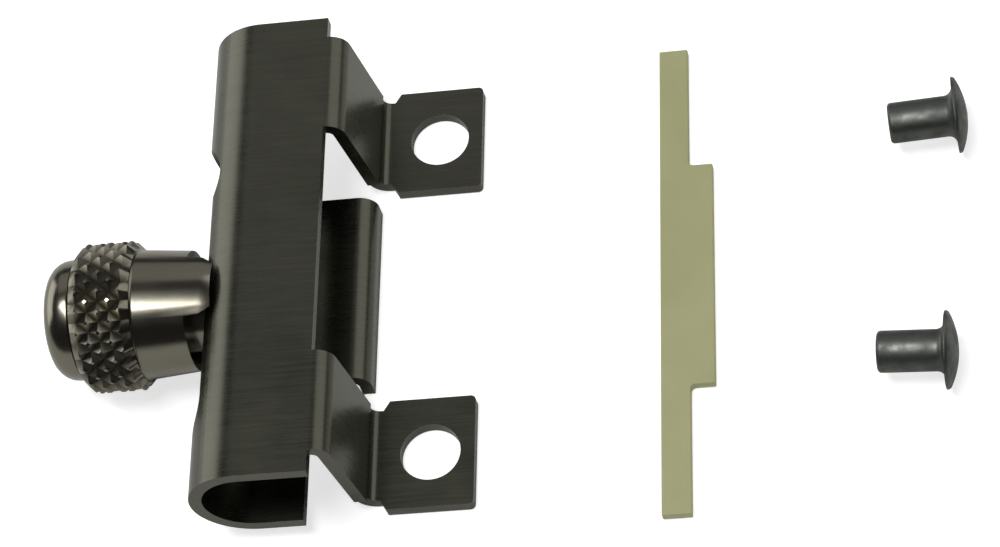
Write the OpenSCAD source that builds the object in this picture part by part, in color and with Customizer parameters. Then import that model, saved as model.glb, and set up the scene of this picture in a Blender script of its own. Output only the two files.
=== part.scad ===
// Sliding gate latch: a folded sheet housing, a round bolt that a spring-loaded
// knob slides along it, a plastic guide strip and two semi-tubular rivets.
// X runs across the latch (knob at -X, ears at +X), Y runs along it and Z points
// away from the mounting plane. The origin lies on the mounting plane, midway
// between the two ear holes.

/* [Housing] */
// Length of the folded housing along Y
housing_l = 60.4; // [56:0.2:90]
// Thickness of the sheet metal
sheet_t = 1.5; // [1:0.1:2]
// Outer depth of the channel, front face to back face
channel_depth = 13.6; // [11:0.1:18]
// Outer width of the channel, from the rounded edge to the front wall's open edge
channel_w = 15.1; // [14:0.1:22]
// Gap between the mounting plane and the channel's back wall
back_gap = 2.8; // [2:0.1:8]
// How far the back wall's open edge stops short of the front wall's
back_wall_inset = 3.2; // [1:0.1:4]
// Inside radius of the small bends
bend_r = 0.8; // [0.5:0.1:1.2]

/* [Legs and ears] */
// Distance between the centres of the two ear holes
ear_pitch = 42.4; // [40:0.1:52]
// Diameter of each ear hole
ear_hole_d = 7.1; // [5.4:0.1:8]
// Half the width of an ear, from its hole's centre to its free edge
ear_reach = 5.2; // [4.8:0.1:8]
// Height of an ear along Y
ear_l = 14; // [12:0.1:18]
// Radius on an ear's free corners
ear_corner_r = 0.6; // [0.3:0.1:1.5]
// Width of a leg along Y
leg_w = 12.6; // [10:0.1:14]
// Lean of each leg away from straight down, in degrees
leg_lean = 7; // [2:0.5:12]
// Depth of the relief notch beside each ear bend
relief_d = 0.5; // [0.2:0.1:1]
// Distance from the bend to an ear's hole centre
ear_bend_x = 6; // [5.6:0.1:9]

/* [Middle tab] */
// Length of the middle tab along Y
tab_l = 24.4; // [16:0.1:26]
// How far the tab's outer face stands beyond the front wall's open edge
tab_reach = 3.65; // [2.6:0.05:6]

/* [Keyhole slot] */
// Width of the slot that the stud runs in
slot_w = 8.6; // [6.4:0.1:9]
// Distance from the housing's top end to the locking hole's centre
lock_hole_drop = 19.2; // [13:0.1:20]
// Sheet left between the slot's lower end and the housing's bottom end
slot_end_wall = 7.6; // [5:0.1:10]

/* [Bolt and stud] */
// Length of the round bolt
bolt_l = 42; // [38:0.5:46]
// How far the bolt's nose lies inside the housing's top end at rest
bolt_inset = 2; // [1:0.1:4]
// Distance from the housing's top end to the knob's axis at rest
knob_drop = 34.9; // [32:0.1:38]
// Gap between the bolt and the channel's inner faces
bolt_gap = 0.15; // [0.1:0.05:0.4]
// Diameter of the stud's shank and thread
stud_d = 5; // [4:0.1:5.6]
// Thread engagement of the stud in the bolt
stud_grip = 4.5; // [3:0.1:6]
// Thickness of the stud's head
stud_head_t = 1.8; // [1.4:0.1:2]

/* [Knob] */
// Diameter of the knurled ring
knob_d = 17.6; // [15:0.1:24]
// Length of the knurled ring
ring_l = 7.2; // [6.4:0.1:10]
// Chamfer on both edges of the knurled ring
ring_chamfer = 0.9; // [0.3:0.1:1.1]
// Diameter of the tapered neck where it meets the ring
neck_root_d = 15.2; // [14:0.1:15.6]
// Diameter of the tapered neck at its inner end
neck_d = 13.8; // [13:0.1:14]
// Length of the neck
neck_l = 8.3; // [7:0.1:10]
// How far the neck's two lips reach in over the housing's rounded edge
lip_l = 1; // [0:0.1:1.2]
// Length of the bevel on the neck's inner end
neck_bevel_l = 1.2; // [0.4:0.1:1.6]
// How far that bevel narrows the neck, on the radius
neck_bevel_r = 0.4; // [0.2:0.1:0.6]
// Wall between the knob's bore and its neck
neck_wall = 1.9; // [1.6:0.1:2.2]
// How far the locking nose laps over each side of the slot
nose_lap = 0.5; // [0.2:0.05:0.6]
// Gap between the locking nose and the locking hole
lock_gap = 0.45; // [0.1:0.05:0.5]
// How far the nose drops into the locking hole
lock_drop = 0.6; // [0.4:0.1:1]
// Thickness of the knob's floor, under the spring
knob_floor_t = 1.2; // [1:0.1:1.8]
// Diameter of the domed cap
cap_d = 14.2; // [12:0.1:14.8]
// Length of the domed cap outside the ring
cap_l = 4; // [3:0.1:5]
// Radius that rounds the cap's edge
cap_round = 2.4; // [1:0.1:2.8]

/* [Knob spring] */
// Diameter of the spring's wire
wire_d = 0.7; // [0.5:0.05:0.8]
// Number of turns
spring_turns = 3.5; // [2.5:0.5:4]
// Length of the spring at rest
spring_l = 7.2; // [6.4:0.1:7.6]

/* [Guide strip] */
// Length of the strip
strip_l = 62.4; // [50:0.2:96]
// Thickness of the strip
strip_t = 1.2; // [0.8:0.1:2]
// Distance from the ear holes' line to the strip's straight edge as it lies
strip_x = 26.8; // [20:0.2:40]

/* [Rivets] */
// Diameter of a rivet's shank
rivet_d = 4.8; // [4:0.1:5.2]
// Length of a rivet's shank
rivet_l = 7.6; // [6:0.1:12]
// Diameter of a rivet's head
rivet_head_d = 9; // [7:0.1:11]
// Height of a rivet's domed head
rivet_head_t = 1.6; // [1.2:0.1:2.4]
// Diameter of the hollow in a rivet's end
rivet_bore_d = 3.3; // [2.4:0.1:3.6]
// Depth of the hollow in a rivet's end
rivet_bore_l = 4; // [2:0.1:5]
// Place of the upper rivet's head, across the latch
rivet_a_x = 62; // [50:0.2:80]
// Place of the upper rivet's head, along the latch
rivet_a_y = 16.4; // [10:0.2:30]
// Place of the lower rivet's head, across the latch
rivet_b_x = 59.6; // [50:0.2:80]
// Place of the lower rivet's head, along the latch
rivet_b_y = -14.6; // [-30:0.2:-6]
// Turn of the upper rivet about Z, in degrees
rivet_a_turn = 3; // [-20:1:20]
// Turn of the lower rivet about Z, in degrees
rivet_b_turn = -3; // [-20:1:20]

/* [Hidden] */
$fn = 96;
fine_fn = 48;
eps = 0.01;
// Slack that lets a cutting shape run past the face it cuts
over = 1;

// Running clearance on the radius, and the gap left between faces that don't fit
run_gap = 0.08;
face_gap = 0.05;
loose_gap = 0.3;

half_l = housing_l / 2;
stand_h = channel_depth + back_gap;
bend_outer = bend_r + sheet_t;
channel_r = channel_depth / 2;
channel_z = stand_h - channel_r;
back_z = back_gap;

// Leg: a small bend at the front wall, a straight lean, a small bend into the ear
ear_bend_ease = 0.2;
ear_bend_in = bend_r + ear_bend_ease;
relief_ease = 0.6;
leg_run = (stand_h - bend_outer - sheet_t - ear_bend_in
           + (bend_outer + ear_bend_in) * sin(leg_lean)) / cos(leg_lean);
front_edge_x = -ear_bend_x - (bend_outer + ear_bend_in) * cos(leg_lean)
               - leg_run * sin(leg_lean);
crest_x = front_edge_x - channel_w;
bend_axis_x = crest_x + channel_r;
back_edge_x = front_edge_x - back_wall_inset;
tab_x = front_edge_x + tab_reach;

// Slot, and the plane that the knob's nose rides on
nose_d = slot_w + 2 * nose_lap;
lock_hole_d = nose_d + 2 * lock_gap;
lock_y = half_l - lock_hole_drop;
slot_end_y = -half_l + slot_end_wall + slot_w / 2;
knob_y = half_l - knob_drop;
seat_x = bend_axis_x - sqrt(pow(channel_r, 2) - pow(slot_w / 2, 2)) - face_gap;

bolt_r = channel_r - sheet_t - bolt_gap;
bolt_top_y = half_l - bolt_inset;
bolt_chamfer = 0.8;
bolt_chamfer_l = 2 * bolt_chamfer;
spot_depth = 0.8;
spot_x = bend_axis_x - bolt_r + spot_depth;

// Distances out from the seat plane along the knob's axis
saddle_gap = 0.15;
saddle_l = (seat_x - crest_x) + lock_drop + face_gap;
lip_reach = bend_axis_x - seat_x - lip_l - lock_drop;
saddle_w = 2 * (sqrt(pow(channel_r, 2) - pow(lip_reach, 2)) + saddle_gap);
floor_u = saddle_l + knob_floor_t;
head_u = floor_u + spring_l;
ring_end_u = neck_l + ring_l;
knob_bore_d = neck_d - 2 * neck_wall;
knob_hole_d = stud_d + 2 * run_gap;
spring_gap = 0.4;
spring_d = knob_bore_d - 2 * spring_gap;
stud_head_gap = 0.7;
stud_head_d = knob_bore_d - 2 * stud_head_gap;
cap_plug_l = 1.6;
cap_step_r = 0.4;

// The strip fills the space between the bolt and the legs
strip_gap = 0.25;
strip_w = front_edge_x + bend_r - (bend_axis_x + bolt_r) - 2 * strip_gap;
strip_bump = tab_reach - bend_r;
bump_l = ear_pitch - leg_w - loose_gap;
strip_fillet_r = 0.6;

rivet_edge_t = 0.5;

// --- Shapes that several pieces share ---

// Stands a profile drawn in X and Z up and runs it along Y, centred on y
module along_y(y, length) {
    translate([0, y + length / 2, 0])
        rotate([90, 0, 0])
            linear_extrude(height = length)
                children();
}

// Puts a shape that is turned about Z on the knob's axis, its foot at distance u
module on_knob_axis(u = 0) {
    translate([seat_x - u, knob_y, channel_z])
        rotate([0, -90, 0])
            children();
}

// Plain tube along Z
module tube(d_out, d_in, length) {
    difference() {
        cylinder(d = d_out, h = length);
        translate([0, 0, -over])
            cylinder(d = d_in, h = length + 2 * over);
    }
}

// --- Housing ---

module channel_profile() {
    difference() {
        union() {
            translate([bend_axis_x, channel_z])
                circle(r = channel_r);
            translate([bend_axis_x, back_z])
                square([front_edge_x - bend_axis_x, channel_depth]);
        }
        translate([bend_axis_x, channel_z])
            circle(r = channel_r - sheet_t);
        translate([bend_axis_x, back_z + sheet_t])
            square([channel_w, channel_depth - 2 * sheet_t]);
        translate([back_edge_x, back_z - over])
            square([back_wall_inset + over, over + sheet_t + eps]);
    }
}

// Everything behind the leg's outer skin, less everything behind its inner skin
module leg_profile() {
    out = [cos(leg_lean), sin(leg_lean)];
    top_axis = [front_edge_x, stand_h - bend_outer];
    foot_axis = [-ear_bend_x, sheet_t + ear_bend_in];
    left_x = front_edge_x - bend_outer - sheet_t;
    difference() {
        union() {
            translate(top_axis)
                circle(r = bend_outer, $fn = fine_fn);
            polygon([[left_x, stand_h], [front_edge_x, stand_h], top_axis,
                     top_axis + bend_outer * out, foot_axis - ear_bend_in * out, foot_axis,
                     [-ear_bend_x, sheet_t], [-ear_reach, sheet_t], [-ear_reach, 0],
                     [left_x, 0]]);
        }
        leg_hollow(top_axis, foot_axis, out, left_x - over);
        translate(foot_axis)
            circle(r = ear_bend_in, $fn = fine_fn);
    }
}

module leg_hollow(top_axis, foot_axis, out, left_x) {
    foot_r = ear_bend_in + sheet_t;
    difference() {
        union() {
            translate(top_axis)
                circle(r = bend_r, $fn = fine_fn);
            polygon([[left_x, stand_h - sheet_t], [front_edge_x, stand_h - sheet_t], top_axis,
                     top_axis + bend_r * out, foot_axis - foot_r * out, foot_axis,
                     [-ear_bend_x, -over], [left_x, -over]]);
        }
        translate(foot_axis)
            circle(r = foot_r, $fn = fine_fn);
    }
}

module ear_plate() {
    half = ear_l / 2;
    linear_extrude(height = sheet_t)
        difference() {
            union() {
                translate([-ear_bend_x, -half])
                    square([ear_bend_x + ear_reach - ear_corner_r, ear_l]);
                translate([-ear_bend_x, -half + ear_corner_r])
                    square([ear_bend_x + ear_reach, ear_l - 2 * ear_corner_r]);
                for (side = [-1, 1])
                    translate([ear_reach - ear_corner_r, side * (half - ear_corner_r)])
                        circle(r = ear_corner_r, $fn = fine_fn);
            }
            circle(d = ear_hole_d);
        }
}

// Relief beside the ear bend: a notch with a slanted end, cut from both sides
module relief_cut() {
    inner = leg_w / 2 - relief_d;
    outer = ear_l / 2 + over;
    slant = outer - inner;
    for (side = [0, 1])
        mirror([0, side, 0])
            translate([0, 0, -over])
                linear_extrude(height = sheet_t + ear_bend_in + over)
                    polygon([[-ear_bend_x - ear_bend_in - sheet_t - over, inner],
                             [-ear_reach - relief_d, inner],
                             [-ear_reach - relief_d + slant * relief_ease, outer],
                             [-ear_bend_x - ear_bend_in - sheet_t - over, outer]]);
}

module leg_with_ear() {
    difference() {
        union() {
            along_y(0, leg_w)
                leg_profile();
            ear_plate();
        }
        relief_cut();
    }
}

module middle_tab() {
    top_z = back_z + sheet_t;
    bend_axis = [tab_x - bend_outer, top_z - bend_outer];
    left_x = back_edge_x - sheet_t;
    along_y(0, tab_l)
        difference() {
            union() {
                translate(bend_axis)
                    circle(r = bend_outer, $fn = fine_fn);
                polygon([[left_x, top_z], [bend_axis[0], top_z], bend_axis,
                         [tab_x, bend_axis[1]], [tab_x, 0], [left_x, 0]]);
            }
            translate(bend_axis)
                circle(r = bend_r, $fn = fine_fn);
            polygon([[left_x - over, back_z], [bend_axis[0], back_z], bend_axis,
                     bend_axis + [bend_r, 0], [tab_x - sheet_t, -over],
                     [left_x - over, -over]]);
        }
}

// Keyhole through the rounded edge: locking hole above, stud slot below it
module keyhole() {
    reach = channel_r;
    translate([crest_x - over, 0, channel_z])
        rotate([0, 90, 0]) {
            translate([0, lock_y, 0])
                cylinder(d = lock_hole_d, h = reach);
            translate([0, slot_end_y, 0])
                cylinder(d = slot_w, h = reach);
            translate([-slot_w / 2, slot_end_y, 0])
                cube([slot_w, lock_y - slot_end_y, reach]);
        }
}

module housing() {
    color("dimgray") {
        difference() {
            along_y(0, housing_l)
                channel_profile();
            keyhole();
        }
        middle_tab();
        for (side = [-1, 1])
            translate([0, side * ear_pitch / 2, 0])
                leg_with_ear();
    }
}

// --- Bolt and stud ---

module bolt() {
    color("silver")
        difference() {
            translate([bend_axis_x, bolt_top_y - bolt_l, channel_z])
                rotate([-90, 0, 0])
                    rotate_extrude()
                        polygon([[0, 0], [bolt_r - bolt_chamfer, 0], [bolt_r, bolt_chamfer],
                                 [bolt_r, bolt_l - bolt_chamfer_l],
                                 [bolt_r - bolt_chamfer_l, bolt_l], [0, bolt_l]]);
            // flat round the tapped hole
            translate([spot_x, knob_y, channel_z])
                rotate([0, -90, 0])
                    cylinder(d = stud_d + 2 * face_gap + 2 * run_gap, h = spot_depth + over);
            translate([spot_x + stud_grip, knob_y, channel_z])
                rotate([0, -90, 0])
                    cylinder(d = stud_d, h = stud_grip + over);
        }
}

module stud() {
    groove_w = 1;
    color("gainsboro") {
        translate([spot_x + stud_grip, knob_y, channel_z])
            rotate([0, -90, 0])
                cylinder(d = stud_d, h = spot_x + stud_grip - seat_x + head_u + eps);
        on_knob_axis(head_u)
            difference() {
                cylinder(d = stud_head_d, h = stud_head_t);
                // driver slot across the head
                translate([-stud_head_d, -groove_w / 2, stud_head_t / 2])
                    cube([2 * stud_head_d, groove_w, stud_head_t]);
            }
    }
}

// --- Knob ---

module knob_body() {
    ring_r = knob_d / 2;
    neck_r = neck_d / 2;
    color("slategray")
        on_knob_axis()
            difference() {
                rotate_extrude()
                    polygon([[0, -lip_l], [neck_r - neck_bevel_r, -lip_l],
                             [neck_r, neck_bevel_l - lip_l],
                             [neck_root_d / 2, neck_l], [ring_r - ring_chamfer, neck_l],
                             [ring_r, neck_l + ring_chamfer],
                             [ring_r, ring_end_u - ring_chamfer],
                             [ring_r - ring_chamfer, ring_end_u], [0, ring_end_u]]);
                translate([0, 0, -lip_l - over])
                    cylinder(d = knob_hole_d, h = ring_end_u);
                translate([0, 0, floor_u])
                    cylinder(d = knob_bore_d, h = ring_end_u);
                saddle_cut();
            }
}

// Groove that straddles the housing's rounded edge, with the locking nose left in it
module saddle_cut() {
    difference() {
        translate([-saddle_w / 2, -neck_d, -lip_l - over])
            cube([saddle_w, 2 * neck_d, lip_l + saddle_l + over]);
        cylinder(d = nose_d, h = saddle_l + over);
    }
}

module knob_cap() {
    cap_r = cap_d / 2;
    color("lightslategray")
        on_knob_axis(ring_end_u) {
            translate([0, 0, -cap_plug_l])
                tube(knob_bore_d, knob_bore_d - 2 * sheet_t, cap_plug_l + eps);
            rotate_extrude()
                difference() {
                    union() {
                        square([cap_r - cap_step_r, cap_l - cap_round]);
                        translate([0, cap_step_r])
                            square([cap_r, cap_l - cap_round - cap_step_r]);
                        square([cap_r - cap_round, cap_l]);
                        translate([cap_r - cap_round, cap_l - cap_round])
                            circle(r = cap_round);
                    }
                    translate([-cap_d, -cap_d])
                        square([cap_d, 2 * cap_d]);
                    translate([0, -cap_d])
                        square([cap_d, cap_d]);
                }
        }
}

// One helix turned into a closed tube, with flat rings at a fixed step
module coil(radius, wire_r, turns, rise) {
    sides = 8;
    steps_per_turn = 24;
    rings = round(turns * steps_per_turn);
    points = [for (i = [0:rings]) let (a = 360 * i / steps_per_turn, z = rise * i / rings)
        for (k = [0:sides - 1]) let (b = 360 * k / sides)
            [(radius + wire_r * cos(b)) * cos(a), (radius + wire_r * cos(b)) * sin(a),
             z + wire_r * sin(b)]];
    walls = [for (i = [0:rings - 1]) for (k = [0:sides - 1])
        let (n = (k + 1) % sides)
            [i * sides + k, i * sides + n, (i + 1) * sides + n, (i + 1) * sides + k]];
    ends = [[for (k = [sides - 1:-1:0]) k], [for (k = [0:sides - 1]) rings * sides + k]];
    polyhedron(points = points, faces = concat(walls, ends), convexity = 10);
}

module knob_spring() {
    color("silver")
        on_knob_axis(floor_u + wire_d / 2 + face_gap)
            coil((spring_d - wire_d) / 2, wire_d / 2, spring_turns,
                 spring_l - wire_d - 2 * face_gap);
}

// --- Loose pieces ---

module guide_strip() {
    half = strip_l / 2;
    bump_half = bump_l / 2;
    f = strip_fillet_r;
    color("tan")
        translate([strip_x, 0, 0])
            linear_extrude(height = strip_t)
                difference() {
                    union() {
                        translate([0, -half])
                            square([strip_w, strip_l]);
                        translate([0, -bump_half])
                            square([strip_w + strip_bump, bump_l]);
                        for (side = [-1, 1])
                            translate([strip_w - eps, side < 0 ? -bump_half - f : bump_half])
                                square([f + eps, f]);
                    }
                    for (side = [-1, 1])
                        translate([strip_w + f, side * (bump_half + f)])
                            circle(r = f, $fn = fine_fn);
                }
}

// Rivet with its head's underside at the origin and its shank along -X
module rivet_shape() {
    head_r = rivet_head_d / 2;
    dome_h = rivet_head_t - rivet_edge_t;
    dome_r = (pow(head_r, 2) + pow(dome_h, 2)) / (2 * dome_h);
    rotate([0, 90, 0]) {
        difference() {
            translate([0, 0, -rivet_l])
                cylinder(d = rivet_d, h = rivet_l + eps);
            translate([0, 0, -rivet_l - over])
                cylinder(d = rivet_bore_d, h = rivet_bore_l + over);
        }
        cylinder(r = head_r, h = rivet_edge_t);
        intersection() {
            translate([0, 0, rivet_head_t - dome_r])
                sphere(r = dome_r);
            cylinder(r = head_r, h = rivet_head_t);
        }
    }
}

// A rivet on its side, its shank level and its head's rim on the mounting plane
module lying_rivet(x, y, turn) {
    color("darkgray")
        translate([x, y, rivet_head_d / 2])
            rotate([0, 0, turn])
                rivet_shape();
}

module rivet_upper() {
    lying_rivet(rivet_a_x, rivet_a_y, rivet_a_turn);
}

module rivet_lower() {
    lying_rivet(rivet_b_x, rivet_b_y, rivet_b_turn);
}

housing();
bolt();
stud();
knob_body();
knob_cap();
knob_spring();
guide_strip();
rivet_upper();
rivet_lower();
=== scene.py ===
import math

import bmesh
import bpy
from bpy.props import FloatProperty, FloatVectorProperty, IntProperty, PointerProperty
from mathutils import Matrix, Vector


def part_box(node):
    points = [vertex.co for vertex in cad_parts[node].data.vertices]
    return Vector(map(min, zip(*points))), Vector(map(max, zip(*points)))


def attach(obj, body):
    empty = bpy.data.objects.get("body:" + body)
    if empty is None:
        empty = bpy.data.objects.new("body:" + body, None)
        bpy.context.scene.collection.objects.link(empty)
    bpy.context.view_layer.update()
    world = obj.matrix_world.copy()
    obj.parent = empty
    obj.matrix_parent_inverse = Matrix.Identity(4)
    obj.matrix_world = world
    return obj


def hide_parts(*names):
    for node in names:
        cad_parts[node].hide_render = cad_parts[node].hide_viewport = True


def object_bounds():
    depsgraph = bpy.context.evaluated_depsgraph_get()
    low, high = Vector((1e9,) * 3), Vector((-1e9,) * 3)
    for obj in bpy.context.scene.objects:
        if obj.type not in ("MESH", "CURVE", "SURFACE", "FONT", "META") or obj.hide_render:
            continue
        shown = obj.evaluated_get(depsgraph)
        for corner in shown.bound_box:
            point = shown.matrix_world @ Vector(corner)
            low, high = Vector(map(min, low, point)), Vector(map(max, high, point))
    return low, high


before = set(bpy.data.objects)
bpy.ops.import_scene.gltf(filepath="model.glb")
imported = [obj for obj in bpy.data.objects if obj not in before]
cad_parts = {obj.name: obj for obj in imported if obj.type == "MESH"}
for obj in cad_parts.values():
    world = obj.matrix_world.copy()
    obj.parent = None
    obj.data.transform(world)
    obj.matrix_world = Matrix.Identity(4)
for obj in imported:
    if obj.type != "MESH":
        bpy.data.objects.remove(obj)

bl_info = {
    "name": "Gate Latch Looks",
    "version": (1, 0, 0),
    "blender": (4, 5, 0),
    "location": "3D View > Sidebar > Latch",
    "description": "Dresses a gate latch, its guide strip and its rivets in detailed pieces and finishes",
    "category": "Object",
}

MM = 0.001
CAD_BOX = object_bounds()

# Turn an edge sharp where its faces meet at more than this
SHARP_ANGLE = math.radians(30)
# Faces that meet at less than this are merged into one
FLAT_ANGLE = math.radians(0.5)
LATHE_STEPS = 128


# ---------------------------------------------------------------- settings

def length(name, description, default_mm):
    """A length in metres, its default written in millimetres."""
    return FloatProperty(name=name, description=description, default=default_mm * MM,
                         min=0, precision=5, unit="LENGTH")


def colour(name, description, default):
    """A plain colour."""
    return FloatVectorProperty(name=name, description=description, default=default,
                               subtype="COLOR", min=0, max=1)


class LatchHousing(bpy.types.PropertyGroup):
    edge_round: length("Edge Round", "Radius that softens the sheet's cut edges", 0.12)
    sheet_colour: colour("Sheet", "Colour of the plated sheet", (0.087, 0.087, 0.069))
    bright_colour: colour("Bright Grain", "Colour where the plating is thin", (0.139, 0.138, 0.112))


class LatchKnob(bpy.types.PropertyGroup):
    neck_radius: length("Neck Radius", "Radius of the neck at its inner end", 6.9)
    neck_root_radius: length("Neck Root Radius", "Radius of the neck where it meets the ring", 7.6)
    neck_length: length("Neck Length", "Length of the neck, from its lips' ends", 9.3)
    neck_bevel_length: length("Bevel Length", "Length of the bevel on the neck's end", 1.2)
    neck_bevel_depth: length("Bevel Depth", "How far that bevel narrows the neck", 0.4)
    neck_fillet: length("Neck Fillet", "Radius between the neck and the ring", 0.3)
    saddle_width: length("Saddle Width", "Width of the groove that straddles the housing", 11.68)
    saddle_depth: length("Saddle Depth", "Depth of that groove", 3.13)
    nose_inset: length("Nose Inset", "How far the nose stands behind the lips' ends", 1)
    nose_radius: length("Nose Radius", "Radius of the locking nose", 4.8)
    hole_radius: length("Hole Radius", "Radius of the hole round the stud", 2.58)
    bore_radius: length("Bore Radius", "Radius of the spring's bore", 5)
    floor_start: length("Floor Start", "Distance from the lips' ends to the bore's floor", 4.25)
    ring_chamfer: length("Ring Chamfer", "Chamfer on both edges of the ring", 0.9)
    knurl_count: IntProperty(name="Diamonds Around", description="Diamonds round the ring",
                             default=22, min=8)
    knurl_rows: IntProperty(name="Diamonds Along", description="Diamonds along the ring",
                            default=2, min=1)
    knurl_depth: length("Knurl Depth", "Depth of the knurl's grooves", 0.75)
    cap_corner: length("Cap Corner", "Radius that rounds the cap's edge", 2.3)
    cap_crown: length("Cap Crown", "How far the cap's end swells", 0.35)
    metal_colour: colour("Metal", "Colour of the polished plating", (0.22, 0.208, 0.166))
    # Painted shade in the knurl's grooves, also the darker tone of the random smudges
    smudge_and_groove_shade_colour: colour("Grooves", "Colour in the knurl's grooves", (0.075, 0.07, 0.055))


class LatchStrip(bpy.types.PropertyGroup):
    edge_round: length("Edge Round", "Radius that softens the strip's edges", 0.15)
    plastic_colour: colour("Plastic", "Colour of the plastic", (0.315, 0.319, 0.155))
    pale_colour: colour("Pale Plastic", "Colour of the plastic's paler clouds", (0.365, 0.369, 0.195))


class LatchRivets(bpy.types.PropertyGroup):
    shank_radius: length("Shank Radius", "Radius of a rivet's shank", 2.4)
    shank_length: length("Shank Length", "Length of a rivet's shank", 7.6)
    head_radius: length("Head Radius", "Radius of a rivet's head", 4.5)
    head_height: length("Head Height", "Height of a rivet's domed head", 1.6)
    rim_height: length("Rim Height", "Height of the head's straight rim", 0.5)
    bore_radius: length("Bore Radius", "Radius of the hollow in a rivet's end", 1.65)
    bore_depth: length("Bore Depth", "Depth of the hollow in a rivet's end", 4)
    neck_fillet: length("Neck Fillet", "Radius between the shank and the head", 0.9)
    tail_round: length("Tail Round", "Radius on the shank's open end", 0.45)
    upper_turn: FloatProperty(name="Upper Turn", description="Turn of the upper rivet about Z",
                              default=math.radians(3), subtype="ANGLE")
    lower_turn: FloatProperty(name="Lower Turn", description="Turn of the lower rivet about Z",
                              default=math.radians(-3), subtype="ANGLE")
    metal_colour: colour("Metal", "Colour of the rivets", (0.12, 0.127, 0.116))
    dull_colour: colour("Dull Metal", "Colour of the rivets' dull patches", (0.075, 0.08, 0.073))


class LatchBolt(bpy.types.PropertyGroup):
    edge_round: length("Edge Round", "Radius that softens the turned edges", 0.1)
    steel_colour: colour("Steel", "Colour of the turned steel", (0.42, 0.415, 0.39))
    oil_colour: colour("Oil", "Colour of the oil film on the steel", (0.27, 0.26, 0.23))


class LatchStage(bpy.types.PropertyGroup):
    floor_colour: colour("Floor", "Colour of the floor", (0.6, 0.6, 0.597))
    room_tone: FloatProperty(name="Room", description="Brightness of the room's fill light",
                             default=0.03, min=0)
    floor_glow: FloatProperty(name="Floor Glow", description="Light that the floor adds of its own",
                              default=0.7, min=0)
    camera_place: FloatVectorProperty(name="Camera", description="Place of the camera",
                                      default=(0.08162, -0.20995, 0.36199), subtype="TRANSLATION",
                                      unit="LENGTH", precision=5)
    camera_lens: FloatProperty(name="Lens", description="Focal length in millimetres on a 36 mm sensor",
                               default=129.6, min=1)


# ---------------------------------------------------------------- finishes

class Wire:
    """A node's output with arithmetic on values."""

    def __init__(self, finish, socket):
        self.finish = finish
        self.socket = socket

    def _maths(self, operation, first, second):
        return self.finish.node("ShaderNodeMath", {"operation": operation}, {0: first, 1: second})

    def __add__(self, other):
        return self._maths("ADD", self, other)

    def __mul__(self, other):
        return self._maths("MULTIPLY", self, other)

    __radd__ = __add__


class Finish:
    """A material built round one Principled shader, whose constant values come first."""

    def __init__(self, name, constants):
        self.material = bpy.data.materials.new(name)
        self.material.use_nodes = True
        self.tree = self.material.node_tree
        self.shader = self.tree.nodes["Principled BSDF"]
        for socket, value in constants.items():
            self.shader.inputs[socket].default_value = value

    def node(self, kind, settings, inputs, output=0):
        """Adds a node, sets its settings, then its sockets' values or links."""
        made = self.tree.nodes.new(kind)
        for key, value in settings.items():
            if key == "stops":
                self._stops(made.color_ramp, value)
            else:
                setattr(made, key, value)
        for key, value in inputs.items():
            self.plug(made.inputs[key], value)
        return Wire(self, made.outputs[output])

    def _stops(self, ramp, stops):
        for i, (place, tone) in enumerate(stops):
            stop = ramp.elements[i] if i < 2 else ramp.elements.new(place)
            stop.position = place
            stop.color = (tone, tone, tone, 1)

    def plug(self, socket, value):
        if isinstance(value, Wire):
            self.tree.links.new(value.socket, socket)
        else:
            socket.default_value = value

    def place(self, scale=(1, 1, 1)):
        """Object coordinates, stretched."""
        at = self.node("ShaderNodeTexCoord", {}, {}, "Object")
        return self.node("ShaderNodeMapping", {}, {"Vector": at, "Scale": scale})

    def noise(self, vector, scale, detail=4.0, roughness=0.5):
        return self.node("ShaderNodeTexNoise", {},
                         {"Vector": vector, "Scale": scale, "Detail": detail, "Roughness": roughness})

    def ramp(self, value, *stops):
        return self.node("ShaderNodeValToRGB", {"stops": stops}, {"Fac": value})

    def blend(self, factor, first, second):
        """Mixes two colours."""
        return self.node("ShaderNodeMix", {"data_type": "RGBA"},
                         {0: factor, 6: as_rgba(first), 7: as_rgba(second)}, 2)

    def surface(self, **links):
        """Links the shader's varying sockets: base_color, roughness, metallic, coat_weight or normal."""
        for name, value in links.items():
            self.plug(self.shader.inputs[name.replace("_", " ").title()], value)

    def bump(self, height, distance, strength=1.0):
        self.surface(normal=self.node("ShaderNodeBump", {},
                                      {"Height": height, "Distance": distance, "Strength": strength}))


def as_rgba(value):
    """A colour property as four numbers; a wire stays a wire."""
    return value if isinstance(value, Wire) else (*value, 1)


def sheet_finish(settings):
    """Dark plated sheet: rolled grain across the width, cloudy plating and fine pits."""
    f = Finish("dark_plated_sheet", {"Metallic": 1.0, "IOR": 1.8})
    grain = f.noise(f.place((160, 3800, 160)), 1.0, 3.0, 0.6)
    cloud = f.noise(f.place(), 140, 3.0)
    speck = f.ramp(f.noise(f.place(), 2600, 2.0, 0.7), (0.58, 0), (0.72, 1))
    tone = f.ramp(grain * 0.6 + cloud * 0.4, (0.35, 0), (0.68, 1))
    f.surface(base_color=f.blend(tone * 0.35 + speck * 0.12, settings.sheet_colour,
                                 settings.bright_colour),
              roughness=0.2 + cloud * 0.08 + grain * 0.08)
    f.bump(grain * 0.8 + speck * 0.2, 0.000012, 0.2)
    return f.material


def knob_finish(settings):
    """Polished dark plating with turning marks round the axis and painted shade in the grooves."""
    f = Finish("polished_dark_plating", {"Metallic": 1.0, "IOR": 1.8})
    turning = f.noise(f.place((1, 0, 0)), 9000, 2.0, 0.7)
    smear = f.noise(f.place(), 260, 4.0)
    groove = f.node("ShaderNodeAttribute", {"attribute_name": "groove"}, {}, "Fac")
    worn = f.blend(smear * 0.25, settings.metal_colour, settings.smudge_and_groove_shade_colour)
    # The grooves darken with their depth: painted shade
    f.surface(base_color=f.blend(groove, worn, settings.smudge_and_groove_shade_colour),
              roughness=0.14 + smear * 0.1 + turning * 0.05 + groove * 0.25)
    f.bump(turning, 0.000012, 0.35)
    return f.material


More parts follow.
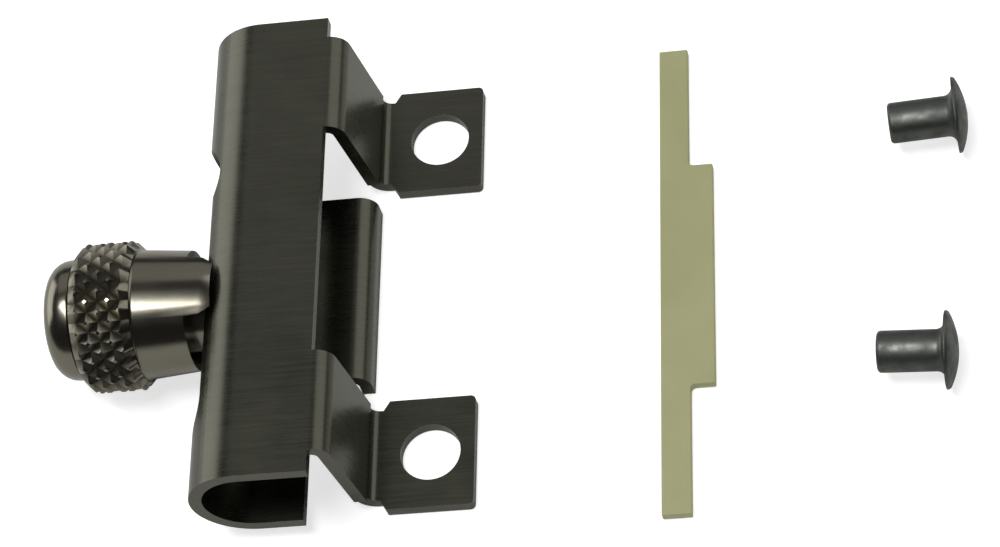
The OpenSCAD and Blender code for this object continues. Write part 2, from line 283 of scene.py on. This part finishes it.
def steel_finish(settings):
    """Turned steel with fine tool marks and a thin film of oil."""
    f = Finish("turned_steel", {"Metallic": 1.0})
    marks = f.noise(f.place((300, 7000, 300)), 1.0, 2.0, 0.6)
    film = f.ramp(f.noise(f.place(), 200, 4.0), (0.4, 0), (0.65, 1))
    f.surface(base_color=f.blend(film, settings.steel_colour, settings.oil_colour),
              roughness=0.22 + film * 0.12 + marks * 0.08)
    f.bump(marks, 0.00002, 0.4)
    return f.material


def plastic_finish(settings):
    """Natural moulded plastic: faint clouds, a waxy surface and very fine scratches."""
    f = Finish("natural_plastic", {"Subsurface Weight": 0.15, "Subsurface Scale": 0.0012, "IOR": 1.5})
    cloud = f.ramp(f.noise(f.place(), 90, 5.0), (0.35, 0), (0.7, 1))
    scratch = f.noise(f.place((2200, 90, 90)), 1.0, 3.0, 0.6)
    orange_peel = f.noise(f.place(), 900, 2.0)
    f.surface(base_color=f.blend(cloud * 0.7 + scratch * 0.2, settings.plastic_colour,
                                 settings.pale_colour),
              roughness=0.42 + cloud * 0.08 + scratch * 0.1)
    f.bump(orange_peel * 0.6 + scratch * 0.4, 0.00004, 0.4)
    return f.material


def rivet_finish(settings):
    """Plated steel, dull in patches, with small dents from the press."""
    f = Finish("plated_rivet_steel", {"Metallic": 1.0})
    patch = f.ramp(f.noise(f.place(), 420, 4.0, 0.6), (0.38, 0), (0.66, 1))
    dent = f.noise(f.place(), 700, 2.0)
    f.surface(base_color=f.blend(patch * 0.8, settings.metal_colour, settings.dull_colour),
              roughness=0.42 + patch * 0.16)
    f.bump(dent, 0.00006, 0.5)
    return f.material


def floor_finish(settings):
    """Matt pale floor, lit from below like a light table, and dim in reflections."""
    f = Finish("pale_floor", {"Specular IOR Level": 0.1, "Emission Strength": settings.floor_glow,
                              "Emission Color": (1, 1, 1, 1)})
    pale = settings.floor_colour
    shade = [0.985 * c for c in pale]
    f.surface(base_color=f.blend(f.noise(f.place(), 6), pale, shade),
              roughness=0.9 + f.noise(f.place(), 40) * 0.05)
    dim = f.node("ShaderNodeBsdfDiffuse", {}, {"Color": (0.65, 0.65, 0.63, 1)})
    seen = f.node("ShaderNodeLightPath", {}, {}, "Is Glossy Ray")
    lit = Wire(f, f.shader.outputs["BSDF"])
    mixed = f.node("ShaderNodeMixShader", {}, {0: seen, 1: lit, 2: dim})
    f.plug(f.tree.nodes["Material Output"].inputs["Surface"], mixed)
    return f.material


# ---------------------------------------------------------------- mesh helpers

def mesh_piece(name, bm, body, nodes, material):
    """Makes the finished object of a bmesh, riding on its body in place of CAD nodes."""
    mesh = bpy.data.meshes.new(name)
    bm.to_mesh(mesh)
    bm.free()
    mesh.shade_smooth()
    mesh.set_sharp_from_angle(angle=SHARP_ANGLE)
    piece = bpy.data.objects.new(name, mesh)
    bpy.context.scene.collection.objects.link(piece)
    mesh.materials.append(material)
    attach(piece, body)
    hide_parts(*nodes)
    return piece


def softened(node, name, body, material, edge_round):
    """A merged copy of a CAD node, its hard edges rounded by a Bevel modifier."""
    bm = bmesh.new()
    bm.from_mesh(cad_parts[node].data)
    bmesh.ops.remove_doubles(bm, verts=bm.verts, dist=1e-6)
    bmesh.ops.dissolve_limit(bm, angle_limit=FLAT_ANGLE, use_dissolve_boundaries=False,
                             verts=bm.verts, edges=bm.edges)
    piece = mesh_piece(name, bm, body, [node], material)
    bevel = piece.modifiers.new("edge_round", "BEVEL")
    bevel.width = edge_round
    bevel.segments = 2
    bevel.limit_method = "ANGLE"
    bevel.angle_limit = SHARP_ANGLE
    bevel.harden_normals = True
    return piece


def dress(node, material):
    """Gives a CAD node that keeps its own shape its material."""
    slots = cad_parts[node].data.materials
    slots.clear()
    slots.append(material)


def round_profile(bm, verts, rounds):
    """Rounds the corners of a wire profile, each by its own distance."""
    for distance in sorted(set(rounds) - {0}):
        corners = [v for v, r in zip(verts, rounds) if r == distance]
        bmesh.ops.bevel(bm, geom=corners, affect="VERTICES", offset=distance, segments=6,
                        profile=0.5, material=-1)


def lathe(corners, place):
    """Spins a closed outline of (radius, height, rounding) about Z and puts it in place."""
    bm = bmesh.new()
    verts = [bm.verts.new((r, 0, h)) for r, h, _ in corners]
    edges = [bm.edges.new(pair) for pair in zip(verts, verts[1:])]
    if corners[0][0] > 0:
        edges.append(bm.edges.new((verts[-1], verts[0])))
    round_profile(bm, verts, [c[2] for c in corners])
    bmesh.ops.spin(bm, geom=bm.verts[:] + bm.edges[:], cent=(0, 0, 0), axis=(0, 0, 1),
                   angle=math.tau, steps=LATHE_STEPS, use_merge=True)
    bmesh.ops.remove_doubles(bm, verts=bm.verts, dist=1e-7)
    bmesh.ops.recalc_face_normals(bm, faces=bm.faces)
    bmesh.ops.transform(bm, matrix=place, verts=bm.verts)
    return bm


def knob_place():
    """The knob's axis: local Z runs out along -X from the lips' ends."""
    low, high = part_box("knob_body")
    turn = Matrix(((0, 0, -1), (0, 1, 0), (1, 0, 0))).to_4x4()
    return Matrix.Translation((high.x, (low.y + high.y) / 2, (low.z + high.z) / 2)) @ turn


def polar(v, radius, height):
    """Moves a vertex to a radius and height about Z, at its own angle."""
    angle = math.atan2(v.co.y, v.co.x)
    v.co = (radius * math.cos(angle), radius * math.sin(angle), height)


def sweep_rim(bm, edges, rings):
    """Extrudes a round rim through a list of (radius, height) and returns its last edges."""
    for radius, height in rings:
        made = bmesh.ops.extrude_edge_only(bm, edges=edges)["geom"]
        edges = [g for g in made if isinstance(g, bmesh.types.BMEdge)]
        for v in (g for g in made if isinstance(g, bmesh.types.BMVert)):
            polar(v, radius, height)
    return edges


def knurled_band(radius, depth, around, along, start, end):
    """A band of raised diamonds, open at both rims: a slanted grid, inset, trimmed and rolled up."""
    bm = bmesh.new()
    reach = around + along + 2
    # How far a diamond's flanks run in, where its side is 1
    flank = 0.4
    bmesh.ops.create_grid(bm, x_segments=2 * reach, y_segments=2 * reach, size=reach)
    bmesh.ops.inset_individual(bm, faces=bm.faces[:], thickness=flank, depth=1.0,
                               use_even_offset=True)
    slant = Matrix(((0.5, 0.5, 0, 0), (0.5, -0.5, 0, 0), (0, 0, 1, 0), (0, 0, 0, 1)))
    bmesh.ops.transform(bm, matrix=slant, verts=bm.verts)
    # clear_outer removes the side that the normal points to
    for point, normal in (((0, 0, 0), (-1, 0, 0)), ((around, 0, 0), (1, 0, 0)),
                          ((0, 0, 0), (0, -1, 0)), ((0, along, 0), (0, 1, 0))):
        bmesh.ops.bisect_plane(bm, geom=bm.verts[:] + bm.edges[:] + bm.faces[:], dist=1e-5,
                               plane_co=point, plane_no=normal, clear_outer=True)
    for v in bm.verts:
        angle = math.tau * v.co.x / around
        r = radius - depth * (1 - abs(v.co.z))
        v.co = (r * math.cos(angle), r * math.sin(angle), start + (end - start) * v.co.y / along)
    bmesh.ops.remove_doubles(bm, verts=bm.verts, dist=1e-7)
    return bm


def carved(bm, cutter):
    """One closed mesh less another; both are used up."""
    objects = []
    for name, source in (("block", bm), ("cutter", cutter)):
        mesh = bpy.data.meshes.new(name)
        source.to_mesh(mesh)
        source.free()
        objects.append(bpy.data.objects.new(name, mesh))
        bpy.context.scene.collection.objects.link(objects[-1])
    block, tool = objects
    cut = block.modifiers.new("cut", "BOOLEAN")
    cut.operation = "DIFFERENCE"
    cut.object = tool
    result = bmesh.new()
    result.from_object(block, bpy.context.evaluated_depsgraph_get())
    for mesh in (block.data, tool.data):
        bpy.data.meshes.remove(mesh)
    if not result.faces:
        raise RuntimeError("the cut left nothing")
    return result


def rim_edges(bm, height):
    """The open edges that lie at one height."""
    return [e for e in bm.edges
            if e.is_boundary and all(abs(v.co.z - height) < 1e-7 for v in e.verts)]


# ---------------------------------------------------------------- pieces

class LATCH_OT_housing(bpy.types.Operator):
    """Round the folded housing's cut edges and plate it"""
    bl_idname = "latch.housing"
    bl_label = "Housing"

    def execute(self, context):
        settings = context.scene.latch_housing
        softened("housing", "housing_sheet", "housing",
                 sheet_finish(settings), settings.edge_round)
        return {"FINISHED"}


class LATCH_OT_bolt(bpy.types.Operator):
    """Finish the bolt, its stud and the knob's spring in turned steel"""
    bl_idname = "latch.bolt"
    bl_label = "Bolt and Stud"

    def execute(self, context):
        settings = context.scene.latch_bolt
        steel = steel_finish(settings)
        for node in ("bolt", "stud"):
            softened(node, node + "_steel", "bolt", steel, settings.edge_round)
        dress("knob_spring", steel)
        return {"FINISHED"}


class LATCH_OT_knob(bpy.types.Operator):
    """Turn the knob's body with a knurled ring, a neck and a locking nose"""
    bl_idname = "latch.knob"
    bl_label = "Knurled Knob"

    def execute(self, context):
        s = context.scene.latch_knob
        low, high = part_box("knob_body")
        ring_radius = (high.y - low.y) / 2
        end = high.x - low.x
        fillet = s.neck_fillet
        shoulder = ring_radius - s.ring_chamfer
        band_start = s.neck_length + s.ring_chamfer
        band_end = end - s.ring_chamfer
        bm = knurled_band(ring_radius, s.knurl_depth, s.knurl_count, s.knurl_rows,
                          band_start, band_end)
        inner = rim_edges(bm, band_start)
        outer = rim_edges(bm, band_end)
        arc = [(s.neck_root_radius + fillet * (1 - math.sin(a)),
                s.neck_length - fillet * (1 - math.cos(a)))
               for a in (math.radians(d) for d in (0, 30, 60, 90))]
        rings = [(shoulder, s.neck_length), *arc,
                 (s.neck_radius, s.neck_bevel_length),
                 (s.neck_radius - s.neck_bevel_depth, 0),
                 (s.hole_radius, 0),
                 (s.hole_radius, s.floor_start),
                 (s.bore_radius, s.floor_start),
                 (s.bore_radius, end),
                 (shoulder, end)]
        last = sweep_rim(bm, inner, rings)
        bmesh.ops.bridge_loops(bm, edges=last + outer)
        bmesh.ops.recalc_face_normals(bm, faces=bm.faces)
        self.mark_groove_shade(bm, ring_radius, s.knurl_depth, s.neck_length)
        bm = carved(bm, self.saddle(s))
        bmesh.ops.transform(bm, matrix=knob_place(), verts=bm.verts)
        mesh_piece("knob_knurled", bm, "knob", ["knob_body"], knob_finish(s))
        return {"FINISHED"}

    def saddle(self, s):
        """The groove across the neck's end, as a block with the nose's round hole through it."""
        across = 4 * s.neck_radius
        block = bmesh.new()
        bmesh.ops.create_cube(block, size=1)
        bmesh.ops.scale(block, vec=(s.saddle_width, across, 2 * s.saddle_depth), verts=block.verts)
        nose = bmesh.new()
        tall = 2 * s.saddle_depth
        bmesh.ops.create_cone(nose, cap_ends=True, segments=LATHE_STEPS, radius1=s.nose_radius,
                              radius2=s.nose_radius, depth=tall)
        bmesh.ops.translate(nose, verts=nose.verts, vec=(0, 0, s.nose_inset + tall / 2))
        return carved(block, nose)

    def mark_groove_shade(self, bm, radius, depth, start):
        """Marks how deep each of the ring's points lies in a groove, the mask of the grooves' painted
        shade.
        """
        layer = bm.verts.layers.float.new("groove")
        deepest = 1.05 * depth
        for v in bm.verts:
            below = radius - Vector(v.co.xy).length
            on_ring = v.co.z > start + depth and below < deepest
            v[layer] = min(1, below / depth) if on_ring else 0


class LATCH_OT_cap(bpy.types.Operator):
    """Turn the knob's domed cap"""
    bl_idname = "latch.cap"
    bl_label = "Domed Cap"

    def execute(self, context):
        s = context.scene.latch_knob
        low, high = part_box("knob_cap")
        body_low, body_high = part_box("knob_body")
        ring_end = body_low.x
        radius = (high.y - low.y) / 2
        top = ring_end - low.x
        plug = high.x - ring_end
        step = 0.4 * MM
        crown = s.cap_crown
        # The crown's flat middle starts at this radius and has this much left to rise
        middle = radius * 0.45
        rise = crown * 0.25
        corners = [(0, -plug, 0), (s.bore_radius, -plug, 0), (s.bore_radius, 0, 0),
                   (radius - step, 0, 0), (radius - step, step, 0), (radius, step, 0.15 * MM),
                   (radius, top - crown, s.cap_corner), (middle, top - rise, 0.5 * MM), (0, top, 0)]
        place = Matrix.Translation((ring_end - body_high.x, 0, 0)) @ knob_place()
        bm = lathe(corners, place)
        mesh_piece("knob_dome", bm, "knob", ["knob_cap"],
                   bpy.data.materials["polished_dark_plating"])
        return {"FINISHED"}


class LATCH_OT_strip(bpy.types.Operator):
    """Round the guide strip's edges and make it plastic"""
    bl_idname = "latch.strip"
    bl_label = "Guide Strip"

    def execute(self, context):
        settings = context.scene.latch_strip
        softened("guide_strip", "strip_plastic", "strip",
                 plastic_finish(settings), settings.edge_round)
        return {"FINISHED"}


class LATCH_OT_rivets(bpy.types.Operator):
    """Turn the two semi-tubular rivets"""
    bl_idname = "latch.rivets"
    bl_label = "Rivets"

    def execute(self, context):
        s = context.scene.latch_rivets
        metal = rivet_finish(s)
        for node, body, turn in (("rivet_upper", "upper_rivet", s.upper_turn),
                                 ("rivet_lower", "lower_rivet", s.lower_turn)):
            bm = lathe(self.outline(s), self.place(node, turn, s))
            mesh_piece(node + "_turned", bm, body, [node], metal)
        return {"FINISHED"}

    def outline(self, s):
        """Radius and height about the rivet's axis, the head's underside at height 0."""
        tail = -s.shank_length
        bore_end = tail + s.bore_depth
        # Where the dome's outline turns between its rim and its top
        dome = (s.head_radius * 0.55, s.head_height * 0.88, 1.4 * MM)
        return [(0, bore_end, 0), (s.bore_radius, bore_end - 0.4 * MM, 0.3 * MM),
                (s.bore_radius, tail, 0.2 * MM), (s.shank_radius, tail, s.tail_round),
                (s.shank_radius, 0, s.neck_fillet), (s.head_radius, 0.1 * MM, 0.1 * MM),
                (s.head_radius, s.rim_height, 0.3 * MM), dome, (0, s.head_height, 0)]

    def place(self, node, turn, s):
        """The axis that the CAD rivet has: its head's rim and its tail touch its box."""
        low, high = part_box(node)
        lean = math.sin(turn)
        x = low.x + s.shank_length * math.cos(turn) + s.shank_radius * abs(lean)
        y = (low.y + high.y) / 2 - s.rim_height * lean / 2
        axis = Matrix(((0, 0, 1), (1, 0, 0), (0, 1, 0))).to_4x4()
        return (Matrix.Translation((x, y, (low.z + high.z) / 2))
                @ Matrix.Rotation(turn, 4, "Z") @ axis)


# ---------------------------------------------------------------- stage

def area_light(name, at, towards, size, power, size_y=None):
    """A soft rectangular light that faces a point."""
    light = bpy.data.lights.new(name, "AREA")
    light.shape = "RECTANGLE"
    light.size = size
    light.size_y = size_y or size
    light.energy = power
    lamp = bpy.data.objects.new(name, light)
    bpy.context.scene.collection.objects.link(lamp)
    lamp.location = at
    lamp.rotation_euler = (Vector(towards) - Vector(at)).to_track_quat("-Z", "Y").to_euler()


class LATCH_OT_stage(bpy.types.Operator):
    """Set up the camera, the pale floor and the soft lights"""
    bl_idname = "latch.stage"
    bl_label = "Stage"

    def execute(self, context):
        settings = context.scene.latch_stage
        self.camera(context.scene, settings)
        self.floor(settings)
        self.lights(context.scene, settings)
        return {"FINISHED"}

    def camera(self, scene, settings):
        data = bpy.data.cameras.new("camera")
        data.lens = settings.camera_lens
        data.sensor_width = 36
        data.clip_start = 0.01
        camera = bpy.data.objects.new("camera", data)
        scene.collection.objects.link(camera)
        right = Vector((0.98152, 0.01803, -0.19053))
        up = Vector((0.07971, 0.86657, 0.49265))
        turn = Matrix((right, up, right.cross(up))).transposed().to_4x4()
        camera.matrix_world = Matrix.Translation(settings.camera_place) @ turn
        scene.camera = camera

    def floor(self, settings):
        bm = bmesh.new()
        bmesh.ops.create_grid(bm, x_segments=1, y_segments=1, size=3)
        under = 0.05 * MM
        bmesh.ops.translate(bm, verts=bm.verts, vec=(0, 0, CAD_BOX[0].z - under))
        mesh = bpy.data.meshes.new("floor")
        bm.to_mesh(mesh)
        bm.free()
        mesh.materials.append(floor_finish(settings))
        floor = bpy.data.objects.new("floor", mesh)
        bpy.context.scene.collection.objects.link(floor)

    def lights(self, scene, settings):
        middle = (CAD_BOX[0] + CAD_BOX[1]) / 2
        world = bpy.data.worlds.new("room")
        world.use_nodes = True
        fill = world.node_tree.nodes["Background"].inputs
        fill["Color"].default_value = (1, 1, 1, 1)
        fill["Strength"].default_value = settings.room_tone
        scene.world = world
        area_light("overhead", (-0.13, -0.13, 0.9), middle, size=0.5, power=6.5, size_y=0.2)
        area_light("back_card", (-0.1, 0.78, 0.62), middle, size=0.9, power=1.0, size_y=0.8)
        area_light("left_box", (-0.85, 0.3, 0.16), middle, size=0.9, power=4.6)
        area_light("right_box", (0.65, 0.5, 0.6), middle, size=0.9, power=2.6)
        scene.view_settings.view_transform = "Standard"


# ---------------------------------------------------------------- add-on

PIECES = (LATCH_OT_stage, LATCH_OT_housing, LATCH_OT_bolt, LATCH_OT_knob, LATCH_OT_cap,
          LATCH_OT_strip, LATCH_OT_rivets)
SETTINGS = {"latch_housing": LatchHousing, "latch_knob": LatchKnob, "latch_strip": LatchStrip,
            "latch_rivets": LatchRivets, "latch_bolt": LatchBolt, "latch_stage": LatchStage}


class LATCH_PT_pieces(bpy.types.Panel):
    """The latch's pieces"""
    bl_idname = "LATCH_PT_pieces"
    bl_label = "Gate Latch"
    bl_space_type = "VIEW_3D"
    bl_region_type = "UI"
    bl_category = "Latch"

    def draw(self, context):
        for operator in PIECES:
            self.layout.operator(operator.bl_idname)


CLASSES = (*SETTINGS.values(), *PIECES, LATCH_PT_pieces)


def register():
    for cls in CLASSES:
        bpy.utils.register_class(cls)
    for name, group in SETTINGS.items():
        setattr(bpy.types.Scene, name, PointerProperty(type=group))


def unregister():
    for name in SETTINGS:
        delattr(bpy.types.Scene, name)
    for cls in reversed(CLASSES):
        bpy.utils.unregister_class(cls)


def main():
    register()
    bpy.ops.latch.stage()
    bpy.ops.latch.housing()
    bpy.ops.latch.bolt()
    bpy.ops.latch.knob()
    bpy.ops.latch.cap()
    bpy.ops.latch.strip()
    bpy.ops.latch.rivets()


if __name__ == "__main__":
    main()
